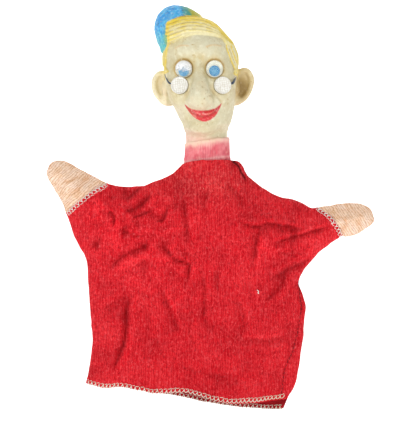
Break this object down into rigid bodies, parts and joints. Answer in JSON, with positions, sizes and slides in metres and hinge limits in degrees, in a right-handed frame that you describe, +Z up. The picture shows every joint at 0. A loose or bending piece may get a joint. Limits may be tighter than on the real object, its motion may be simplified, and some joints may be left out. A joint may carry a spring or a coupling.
{
  "type": "glove puppet",
  "caption": "Cloth glove puppet with a moulded rubber head, rolling disc eyes, low spectacles, a floppy cap, a two-panel tunic and flannel hands.",
  "frame": {"origin": "middle of the tunic's open hem, where the hand goes in", "axes": "+Z up through the head, -Y the way the face looks, +X towards the puppet's left hand. Left and right in names are the puppet's own, so its right arm is at -X."},
  "size_m": [0.2149, 0.066, 0.2622],
  "materials": {
    "red_flannel": "brushed, matt",
    "peach_flannel": "fine ribbed, matt",
    "overlock_thread": "looped thread",
    "painted_rubber": "sprayed paint, satin",
    "white_plastic": "gloss",
    "lens_white": "finely hatched, matt",
    "blue_disc": "satin",
    "clear_dome": "clear plastic, gloss",
    "dark_wire": "satin"
  },
  "bodies": {
    "torso": {"tunic_front": "red_flannel", "tunic_back": "red_flannel", "hem_overlock_front": "overlock_thread", "hem_overlock_back": "overlock_thread", "right_side_seam": "overlock_thread", "left_side_seam": "overlock_thread"},
    "collar": {"collar_front": "red_flannel", "collar_back": "red_flannel", "neck_tie": "overlock_thread"},
    "head": {"head_shell": "painted_rubber", "right_eye_cup": "white_plastic", "left_eye_cup": "white_plastic", "right_eye_dome": "clear_dome", "left_eye_dome": "clear_dome", "right_spectacle_lens": "lens_white", "left_spectacle_lens": "lens_white", "right_spectacle_temple": "dark_wire", "left_spectacle_temple": "dark_wire"},
    "right_pupil_disc": {"right_pupil": "blue_disc"},
    "left_pupil_disc": {"left_pupil": "blue_disc"},
    "right_shoulder": {"right_shoulder_front": "red_flannel", "right_shoulder_back": "red_flannel"},
    "left_shoulder": {"left_shoulder_front": "red_flannel", "left_shoulder_back": "red_flannel"},
    "right_arm": {"right_sleeve_front": "red_flannel", "right_sleeve_back": "red_flannel", "right_cuff_overlock_front": "overlock_thread", "right_cuff_overlock_back": "overlock_thread", "right_hand_front": "peach_flannel", "right_hand_back": "peach_flannel"},
    "left_arm": {"left_sleeve_front": "red_flannel", "left_sleeve_back": "red_flannel", "left_cuff_overlock_front": "overlock_thread", "left_cuff_overlock_back": "overlock_thread", "left_hand_front": "peach_flannel", "left_hand_back": "peach_flannel"}
  },
  "joints": [
    {"name": "head_nod", "type": "hinge", "parent": "torso", "child": "collar", "pos_m": [0.0104, 0, 0.145], "axis": [1, 0, 0], "range_deg": [-20, 25], "deforming": ["collar_front", "collar_back"]},
    {"name": "head_turn", "type": "hinge", "parent": "collar", "child": "head", "pos_m": [0.0104, 0, 0.145], "axis": [0, 0, 1], "range_deg": [-45, 45]},
    {"name": "right_pupil_roll", "type": "hinge", "parent": "head", "child": "right_pupil_disc", "pos_m": [-0.0053, -0.0234, 0.2122], "axis": [0, -1, 0], "continuous": true},
    {"name": "left_pupil_roll", "type": "hinge", "parent": "head", "child": "left_pupil_disc", "pos_m": [0.0146, -0.0234, 0.2122], "axis": [0, -1, 0], "continuous": true},
    {"name": "right_arm_raise", "type": "hinge", "parent": "torso", "child": "right_shoulder", "pos_m": [-0.0589, 0, 0.1161], "axis": [0, 1, 0], "range_deg": [-20, 20], "deforming": ["right_shoulder_front", "right_shoulder_back"]},
    {"name": "left_arm_raise", "type": "hinge", "parent": "torso", "child": "left_shoulder", "pos_m": [0.0705, 0, 0.1088], "axis": [0, -1, 0], "range_deg": [-20, 20], "deforming": ["left_shoulder_front", "left_shoulder_back"]},
    {"name": "right_arm_swing", "type": "hinge", "parent": "right_shoulder", "child": "right_arm", "pos_m": [-0.0589, 0, 0.1161], "axis": [0.5688, 0, 0.8225], "range_deg": [-15, 60], "deforming": ["right_shoulder_front", "right_shoulder_back"]},
    {"name": "left_arm_swing", "type": "hinge", "parent": "left_shoulder", "child": "left_arm", "pos_m": [0.0705, 0, 0.1088], "axis": [0.3945, 0, -0.9189], "range_deg": [-15, 60], "deforming": ["left_shoulder_front", "left_shoulder_back"]}
  ]
}
